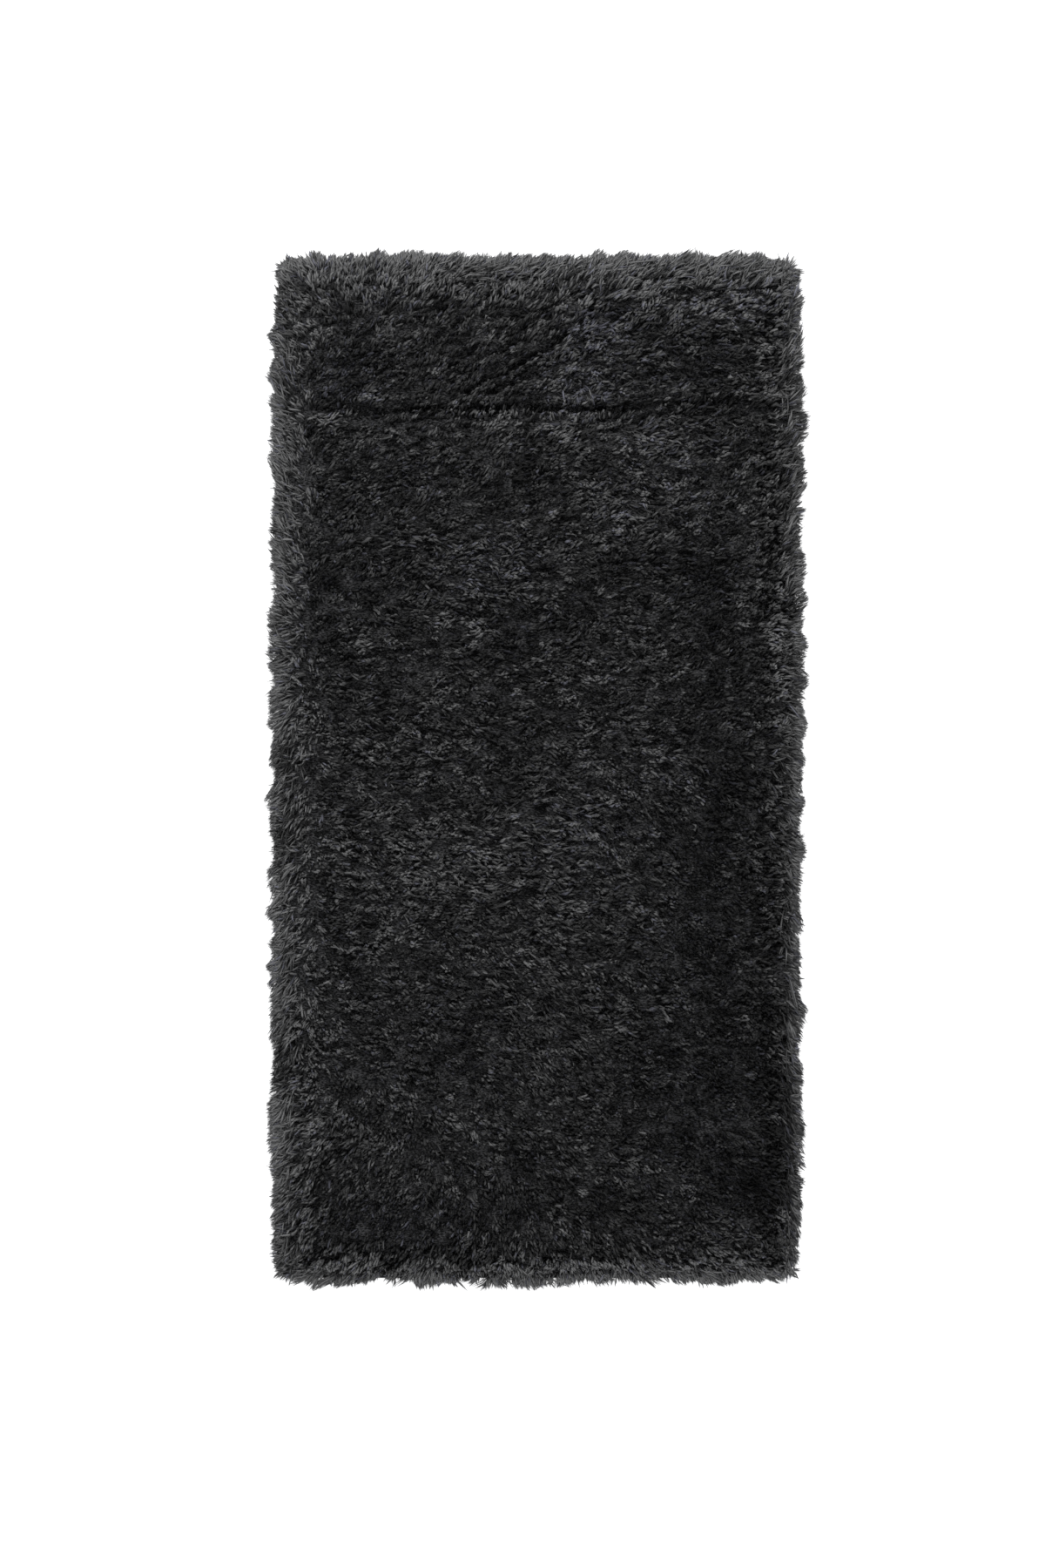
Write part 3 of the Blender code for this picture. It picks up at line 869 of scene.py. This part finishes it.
def lay_tufts(top, places, growth):
    """The yarns of many tufts: root, the knee where each bends over, tip, way, shade, girth and twist."""
    tuft = np.repeat(np.arange(len(places)), growth.yarns)
    count = len(tuft)
    habits = TuftHabits(*(values[tuft] for values in tuft_habits(places)))
    aside, offset, root = spread_roots(places[tuft], habits.way, growth.spread)
    habits = habits._replace(way=habits.way + np.radians(growth.turn * swing(count)))
    tip = spread_tips(top, root, offset, growth, habits)
    knee = curled_knees(root, tip, habits.curl)
    tip, knee = opened_at_marks(tip), opened_at_marks(knee)
    spot = spots_of(knee, tip, aside, habits.rim)
    knee_height, tip_height = heights_of(top, root, knee, tip, spot, growth, habits)
    step, tint = shade_of(tip, tone_of(top, tip, offset, spot, growth, habits))
    girth = growth.girth * (1 - (1 - RIM_GIRTH) * habits.rim)
    girth = girth * np.clip(chance.normal(1.0, GIRTH_VARIES, count), LEAST_GIRTH, MOST_GIRTH)
    return {
        "root": np.column_stack((root, np.full(count, ROOT_HEIGHT))),
        "knee": np.column_stack((knee, knee_height)),
        "tip": np.column_stack((tip, tip_height)),
        "way": habits.way,
        "step": step,
        "tint": tint,
        "girth": girth,
        "twist": chance.uniform(0, 2 * math.pi, count),
    }


def model_yarn(section):
    """One straight yarn, a unit long, that grows from a point at its root and ends in a soft point."""
    first, last = section[0], section[-1]
    start_alone()
    bpy.ops.mesh.primitive_circle_add(
        vertices=YARN_SIDES, radius=first[1], fill_type="NOTHING", location=(0, 0, 0)
    )
    yarn = bpy.context.object
    bpy.ops.object.mode_set(mode="EDIT")
    bpy.ops.mesh.select_mode(type="VERT")
    bpy.ops.mesh.select_all(action="SELECT")
    bpy.ops.transform.translate(value=(0, 0, first[0]))
    for (low, girth), (high, next_girth) in zip(section, section[1:]):
        extrude_up(high - low)
        wider = next_girth / girth
        bpy.ops.transform.resize(value=(wider, wider, 1))
    extrude_up(1 - last[0])
    bpy.ops.mesh.merge(type="CENTER")
    bpy.ops.mesh.select_all(action="DESELECT")
    bpy.ops.mesh.select_non_manifold()
    extrude_up(-first[0])
    bpy.ops.mesh.merge(type="CENTER")
    finish_shape()
    return yarn


class YarnPattern:
    """A modelled yarn's points, faces and map, as arrays to copy."""

    MARGIN, ROUND, ALONG = 0.03, 0.90, 0.94  # of the map: where it starts, and how far it goes each way
    ON_AXIS = 1e-6  # a point nearer to the yarn's middle has no turn of its own

    def __init__(self, section):
        yarn = model_yarn(section)
        mesh = yarn.data
        self.points = np.array([v.co for v in mesh.vertices])
        self.starts = np.array([p.loop_start for p in mesh.polygons])
        self.corners = np.array([loop.vertex_index for loop in mesh.loops])
        self.map = np.vstack([self.face_map(mesh, face) for face in mesh.polygons])
        bpy.data.objects.remove(yarn)

    def face_map(self, mesh, face):
        """Round the yarn and along it, just inside 0 to 1, for a face's corners."""
        places = [mesh.vertices[i].co for i in face.vertices]
        turned = [(i, p) for i, p in enumerate(places) if p.xy.length > self.ON_AXIS]
        turns = {i: math.atan2(p.y, p.x) / (2 * math.pi) % 1 for i, p in turned}
        if max(turns.values()) - min(turns.values()) > 0.5:
            turns = {i: turn + (turn < 0.5) for i, turn in turns.items()}
        middle = sum(turns.values()) / len(turns)
        return [
            (self.MARGIN + self.ROUND * turns.get(i, middle), self.MARGIN + self.ALONG * p.z)
            for i, p in enumerate(places)
        ]


def laid_along(pattern, yarns):
    """The modelled yarn copied along each centreline: points, face corners, face starts and map."""
    root, knee, tip = (yarns[key][:, None, :] for key in ("root", "knee", "tip"))
    count, size = len(root), len(pattern.points)
    t = pattern.points[:, 2][None, :, None]
    centre = root * (1 - t) ** 2 + knee * 2 * t * (1 - t) + tip * t * t
    along = (knee - root) * (1 - t) + (tip - knee) * t
    along /= np.linalg.norm(along, axis=2, keepdims=True)
    way = yarns["way"]
    side = np.stack((-np.sin(way), np.cos(way), np.zeros(count)), 1)[:, None, :]
    up = np.cross(along, np.broadcast_to(side, along.shape))
    up /= np.linalg.norm(up, axis=2, keepdims=True)
    side = np.cross(up, along)
    twist = yarns["twist"][:, None]
    x, y = pattern.points[None, :, 0], pattern.points[None, :, 1]
    girth = yarns["girth"][:, None]
    across = ((x * np.cos(twist) - y * np.sin(twist)) * girth)[:, :, None]
    over = ((x * np.sin(twist) + y * np.cos(twist)) * girth)[:, :, None]
    points = centre + side * across + up * over
    points[:, :, 2] = np.maximum(points[:, :, 2], LOWEST_POINT)

    copies = np.arange(count)
    corners = (pattern.corners[None, :] + copies[:, None] * size).ravel()
    starts = (pattern.starts[None, :] + copies[:, None] * len(pattern.corners)).ravel()
    u = (yarns["step"][:, None] + pattern.map[None, :, 0]) / SHADE_STEPS
    v = (yarns["tint"][:, None] + pattern.map[None, :, 1]) / TINT_STEPS
    return points.reshape(-1, 3), corners, starts, np.stack((u, v), 2).reshape(-1, 2)


def lay_yarns(name, lots, material):
    """One piece of pile, as one joined mesh. A lot is a yarn's pattern and the yarns that it is copied to."""
    laid = [laid_along(pattern, yarns) for pattern, yarns in lots]
    points_before = np.cumsum([0] + [len(points) for points, _, _, _ in laid])
    corners_before = np.cumsum([0] + [len(corners) for _, corners, _, _ in laid])
    points = np.concatenate([lot[0] for lot in laid])
    corners = np.concatenate([lot[1] + before for lot, before in zip(laid, points_before)])
    starts = np.concatenate([lot[2] + before for lot, before in zip(laid, corners_before)])
    places = np.concatenate([lot[3] for lot in laid])

    mesh = bpy.data.meshes.new(name)
    mesh.vertices.add(len(points))
    mesh.vertices.foreach_set("co", points.astype(np.float32).ravel())
    mesh.loops.add(len(corners))
    mesh.loops.foreach_set("vertex_index", corners.astype(np.int32))
    mesh.polygons.add(len(starts))
    mesh.polygons.foreach_set("loop_start", starts.astype(np.int32))
    layer = mesh.uv_layers.new(name="OFBake")
    layer.uv.foreach_set("vector", places.astype(np.float32).ravel())
    mesh.polygons.foreach_set("use_smooth", np.ones(len(starts), bool))
    mesh.update(calc_edges=True)
    mesh.validate()
    mesh.materials.append(material)
    piece = bpy.data.objects.new(name, mesh)
    bpy.context.scene.collection.objects.link(piece)
    return piece


# ---- ground cloth and the inside of the pile


def model_ground_cloth():
    """The flat woven cloth that holds the tufts."""
    cloth = add_grid("ground_cloth", CLOTH_CELLS)
    bpy.ops.object.mode_set(mode="EDIT")
    bpy.ops.mesh.select_all(action="SELECT")
    bpy.ops.transform.resize(value=(*CLOTH_SIZE, 1))
    extrude_up(CLOTH_THICKNESS)
    finish_shape()
    rounded = cloth.modifiers.new("rounded_edge", "BEVEL")
    rounded.width = CLOTH_THICKNESS * CLOTH_ROUNDING
    rounded.segments = 2
    rounded.limit_method = "ANGLE"
    bpy.ops.object.modifier_apply(modifier=rounded.name)
    bpy.ops.object.shade_smooth_by_angle(angle=math.radians(CLOTH_SMOOTH))
    return cloth


def rounded_off(across, along, half, corner):
    """Points of a rectangle moved inside its rounded corners, and how far each then is from its edge."""
    inner = np.array(half) - corner
    sides = np.column_stack((np.abs(across), np.abs(along)))
    past = np.maximum(sides - inner, 0)
    length = np.hypot(past[:, 0], past[:, 1])
    past *= np.minimum(1, corner / np.maximum(length, 1e-9))[:, None]
    sides = np.minimum(sides, inner) + past
    edge = corner - np.hypot(*np.maximum(sides - inner, 0).T) - np.minimum(0, sides - inner).max(axis=1)
    return sides[:, 0] * np.sign(across), sides[:, 1] * np.sign(along), np.maximum(edge, 0)


def model_pile_core(top):
    """The dense inside of the pile, just below the tips, so that no gap between yarns runs to the cloth."""
    core = add_grid("pile_core", CORE_CELLS)
    mesh = core.data
    flat = np.array([v.co for v in mesh.vertices]) * (*CORE_SIZE, 1)
    x, y, edge = rounded_off(flat[:, 0], flat[:, 1], np.array(CORE_SIZE) / 2, CORE_CORNER)
    rise = CORE_LOW + (1 - CORE_LOW) * smooth_step(edge / CORE_RISE)
    rise = rise * np.sqrt(np.clip(edge / CORE_SHOULDER, 0, 1))
    depth = CORE_DEPTH + MARK_DEPTH * on_mark(x, y)[0] - clump_rise(x, y)
    height = np.maximum((top.at(x, y) - depth) * rise, CORE_EDGE_HEIGHT)
    mesh.vertices.foreach_set("co", np.column_stack((x, y, height)).astype(np.float32).ravel())
    bpy.ops.object.mode_set(mode="EDIT")
    bpy.ops.mesh.select_mode(type="EDGE")
    bpy.ops.mesh.select_all(action="DESELECT")
    bpy.ops.mesh.select_non_manifold()
    extrude_up(CLOTH_THICKNESS - CORE_EDGE_HEIGHT)
    bpy.ops.mesh.edge_face_add()
    finish_shape()
    bpy.ops.object.shade_smooth_by_angle(angle=math.radians(CORE_SMOOTH))
    return core


# ---- materials


def add_node(tree, kind, **settings):
    """A new node, with its settings."""
    made = tree.nodes.new(kind)
    for name, value in settings.items():
        setattr(made, name, value)
    return made


def set_values(node, **values):
    """Sets a node's sockets, each named with _ for a space."""
    for name, value in values.items():
        node.inputs[name.replace("_", " ")].default_value = value


def put(tree, value, socket):
    """Gives an input another node's output, or a plain number or colour."""
    if isinstance(value, (int, float, tuple)):
        socket.default_value = value
    else:
        tree.links.new(value, socket)


def calculate(tree, operation, *values):
    """A Math node's result, from one or two outputs or numbers."""
    made = add_node(tree, "ShaderNodeMath", operation=operation)
    for socket, value in zip(made.inputs, values):
        put(tree, value, socket)
    return made.outputs[0]


def mix_colours(tree, share, first, second, kind="MIX"):
    """A Mix node's colour, from outputs, numbers or colours."""
    made = add_node(tree, "ShaderNodeMix", data_type="RGBA", blend_type=kind)
    for socket, value in zip((made.inputs[0], made.inputs[6], made.inputs[7]), (share, first, second)):
        put(tree, value, socket)
    return made.outputs[2]


def soft_rise(tree, value, start, end, lowest=0.0):
    """A rise with soft ends, from lowest to 1, while the value goes from start to end."""
    rise = add_node(tree, "ShaderNodeMapRange", interpolation_type="SMOOTHSTEP")
    set_values(rise, From_Min=start, From_Max=end, To_Min=lowest)
    tree.links.new(value, rise.inputs["Value"])
    return rise.outputs["Result"]


def add_bump(tree, shader, height, strength, distance):
    """A bump on a material's surface."""
    bump = add_node(tree, "ShaderNodeBump")
    set_values(bump, Strength=strength, Distance=distance)
    tree.links.new(height, bump.inputs["Height"])
    tree.links.new(bump.outputs["Normal"], shader.inputs["Normal"])


def fibre_streaks():
    """Node group: fine streaks of fibre, longer one way than the other, as a shade and a height."""
    group = bpy.data.node_groups.new("fibre_streaks", "ShaderNodeTree")
    face = group.interface
    face.new_socket("Place", in_out="INPUT", socket_type="NodeSocketVector")
    for name, value in (("Across", 40), ("Along", 6), ("Depth", 0.3)):
        face.new_socket(name, in_out="INPUT", socket_type="NodeSocketFloat").default_value = value
    for name in ("Shade", "Height"):
        face.new_socket(name, in_out="OUTPUT", socket_type="NodeSocketFloat")
    inside, outside = add_node(group, "NodeGroupInput"), add_node(group, "NodeGroupOutput")
    split = add_node(group, "ShaderNodeSeparateXYZ")
    joined = add_node(group, "ShaderNodeCombineXYZ")
    group.links.new(inside.outputs["Place"], split.inputs[0])
    for axis, streaks in (("X", "Across"), ("Y", "Along")):
        stretched = calculate(group, "MULTIPLY", split.outputs[axis], inside.outputs[streaks])
        group.links.new(stretched, joined.inputs[axis])
    group.links.new(split.outputs["Z"], joined.inputs["Z"])
    noises = add_node(group, "ShaderNodeTexNoise")
    set_values(noises, Scale=1.0, Detail=2.0)
    group.links.new(joined.outputs[0], noises.inputs["Vector"])
    off_middle = calculate(group, "MULTIPLY", calculate(group, "SUBTRACT", noises.outputs["Fac"], 0.5), 2)
    lighter = calculate(group, "MULTIPLY", off_middle, inside.outputs["Depth"])
    group.links.new(calculate(group, "ADD", lighter, 1), outside.inputs["Shade"])
    group.links.new(noises.outputs["Fac"], outside.inputs["Height"])
    return group


def use_group(tree, group, place, **values):
    """The group's node in a material, at a place on the surface and with the material's own values."""
    made = add_node(tree, "ShaderNodeGroup", node_tree=group)
    tree.links.new(place, made.inputs["Place"])
    set_values(made, **values)
    return made


def new_material(name):
    """A new material, its node tree and its Principled shader."""
    material = bpy.data.materials.new(name)
    material.use_nodes = True
    return material, material.node_tree, material.node_tree.nodes["Principled BSDF"]


def charcoal_yarn(streaks):
    """Soft matt yarn. Its map holds the shade's step across, and the tint's step and the yarn's length up."""
    material, tree, shader = new_material("charcoal_yarn")
    place = add_node(tree, "ShaderNodeUVMap", uv_map="OFBake")
    split = add_node(tree, "ShaderNodeSeparateXYZ")
    tree.links.new(place.outputs["UV"], split.inputs[0])
    step = calculate(tree, "FLOOR", calculate(tree, "MULTIPLY", split.outputs["X"], SHADE_STEPS))
    shade = calculate(tree, "DIVIDE", step, SHADE_STEPS - 1)
    tints = calculate(tree, "MULTIPLY", split.outputs["Y"], TINT_STEPS)
    tint, along = calculate(tree, "FLOOR", tints), calculate(tree, "FRACT", tints)
    lift = calculate(tree, "POWER", LIGHTEST_YARN / DARKEST_YARN, shade)
    grey = calculate(tree, "MULTIPLY", lift, DARKEST_YARN)
    # painted shade, darker towards the root
    paler = soft_rise(tree, along, *YARN_TURNS_PALER, lowest=ROOT_PAINTED_SHADE)
    across, length = SHADE_STEPS * YARN_STREAKS[0], TINT_STEPS * YARN_STREAKS[1]
    fibres = use_group(tree, streaks, place.outputs["UV"], Across=across, Along=length, Depth=0.16)
    shaded = calculate(tree, "MULTIPLY", paler, fibres.outputs["Shade"])
    yarn = add_node(tree, "ShaderNodeCombineColor")
    for channel in yarn.inputs:
        tree.links.new(calculate(tree, "MULTIPLY", grey, shaded), channel)
    tinted = mix_colours(tree, tint, PLAIN_TINT, BLUE_TINT)
    colour = mix_colours(tree, 1.0, yarn.outputs[0], tinted, "MULTIPLY")
    tree.links.new(colour, shader.inputs["Base Color"])
    set_values(shader, Roughness=0.60, Specular_IOR_Level=0.06, Sheen_Weight=0.01, Sheen_Roughness=0.45)
    add_bump(tree, shader, fibres.outputs["Height"], strength=0.12, distance=0.0006)
    return material


def deep_pile(streaks):
    """The shaded yarn below the tips: short streaks, mostly across the rug."""
    material, tree, shader = new_material("deep_pile")
    place = add_node(tree, "ShaderNodeTexCoord")
    across, length = DEEP_STREAKS
    fibres = use_group(tree, streaks, place.outputs["Object"], Across=across, Along=length)
    share = soft_rise(tree, fibres.outputs["Height"], *DEEP_TURNS_PALER)
    tree.links.new(mix_colours(tree, share, *DEEP_COLOURS), shader.inputs["Base Color"])
    set_values(shader, Roughness=0.9, Specular_IOR_Level=0.1)
    add_bump(tree, shader, fibres.outputs["Height"], strength=0.8, distance=0.0030)
    return material


def ground_weave(streaks):
    """Plain dark weave of the ground cloth."""
    material, tree, shader = new_material("ground_weave")
    place = add_node(tree, "ShaderNodeTexCoord")
    split = add_node(tree, "ShaderNodeSeparateXYZ")
    tree.links.new(place.outputs["Object"], split.inputs[0])
    waves = [
        calculate(tree, "SINE", calculate(tree, "MULTIPLY", split.outputs[axis], math.pi / THREAD_PITCH))
        for axis in ("X", "Y")
    ]
    over = calculate(tree, "MULTIPLY", *waves)
    height = calculate(tree, "ADD", calculate(tree, "MULTIPLY", over, 0.5), 0.5)
    across, length = WEAVE_STREAKS
    fibres = use_group(tree, streaks, place.outputs["Object"], Across=across, Along=length, Depth=0.35)
    lift = calculate(tree, "MULTIPLY", height, fibres.outputs["Shade"])
    tree.links.new(mix_colours(tree, lift, *WEAVE_COLOURS), shader.inputs["Base Color"])
    set_values(shader, Roughness=0.9)
    add_bump(tree, shader, height, strength=0.6, distance=0.0008)
    return material


def pale_floor():
    """Matt white, a little uneven, lit from below."""
    material, tree, shader = new_material("pale_floor")
    place = add_node(tree, "ShaderNodeTexCoord")
    drifts = add_node(tree, "ShaderNodeTexNoise")
    set_values(drifts, Scale=1.5)
    tree.links.new(place.outputs["Object"], drifts.inputs["Vector"])
    tree.links.new(mix_colours(tree, drifts.outputs["Fac"], *FLOOR_COLOURS), shader.inputs["Base Color"])
    set_values(shader, Roughness=0.8, Emission_Color=(1.0, 1.0, 1.0, 1.0), Emission_Strength=FLOOR_GLOW)
    return material


# ---- stage


def add_floor():
    start_alone()
    bpy.ops.mesh.primitive_plane_add(size=FLOOR_SIZE, location=(0, 0, 0))
    floor = bpy.context.object
    floor.name = floor.data.name = "floor"
    floor.data.materials.append(pale_floor())


def add_soft_light(name, place, size, power):
    """A square soft box, aimed at the middle of the rug."""
    light = bpy.data.lights.new(name, "AREA")
    light.shape = "SQUARE"
    light.size = size
    light.energy = power
    lamp = bpy.data.objects.new(name, light)
    lamp.location = place
    lamp.rotation_mode = "QUATERNION"
    lamp.rotation_quaternion = (-Vector(place)).to_track_quat("-Z", "Y")
    bpy.context.scene.collection.objects.link(lamp)


def add_room_light():
    world = bpy.data.worlds.new("room")
    world.use_nodes = True
    background = world.node_tree.nodes["Background"]
    set_values(background, Color=ROOM_COLOUR, Strength=ROOM_LIGHT)
    bpy.context.scene.world = world


def add_camera():
    camera = bpy.data.objects.new("camera", bpy.data.cameras.new("camera"))
    camera.data.lens = CAMERA_LENS
    camera.location = CAMERA_PLACE
    bpy.context.scene.collection.objects.link(camera)
    bpy.context.scene.camera = camera


def set_stage():
    add_floor()
    add_soft_light("key", place=(-0.5, 2.1, 3.0), size=1.5, power=86)
    add_soft_light("fill", place=(1.4, -1.8, 3.0), size=2.2, power=18)
    add_room_light()
    add_camera()
    bpy.context.scene.view_settings.view_transform = "Standard"


# ---- the rug

FIELD_PARTS = ("pile_foot", "pile_lower", "pile_middle", "pile_upper", "pile_head")


def share_out(yarns, parts):
    """Divides yarns by their place along the rug, into parts with as many in each."""
    order = np.argsort(yarns["root"][:, 1], kind="stable")
    return [{key: values[chosen] for key, values in yarns.items()} for chosen in np.array_split(order, parts)]


def make_pile(top, material):
    """The whole pile: the field in pieces from foot to head, each with as many yarns, and the edge."""
    places = field_tufts()
    patterns = {section: YarnPattern(section) for section in (FULL_YARN, FINE_YARN)}
    lots = []
    for growth in (LONG_YARNS, FINE_YARNS):
        shares = share_out(lay_tufts(top, places, growth), len(FIELD_PARTS))
        lots.append([(patterns[growth.section], yarns) for yarns in shares])
    pieces = [lay_yarns(name, part_lots, material) for name, part_lots in zip(FIELD_PARTS, zip(*lots))]
    edge = lay_tufts(top, edge_tufts(), EDGE_YARNS)
    pieces.append(lay_yarns("pile_edge", [(patterns[EDGE_YARNS.section], edge)], material))
    return pieces


def make_rug():
    streaks = fibre_streaks()
    cloth = model_ground_cloth()
    cloth.data.materials.append(ground_weave(streaks))
    top = PileTop("shag_rug")
    core = model_pile_core(top)
    core.data.materials.append(deep_pile(streaks))
    pile = [core] + make_pile(top, charcoal_yarn(streaks))
    for piece in [cloth] + pile:
        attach(piece, "root")
        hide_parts("shag_rug")


make_rug()
set_stage()
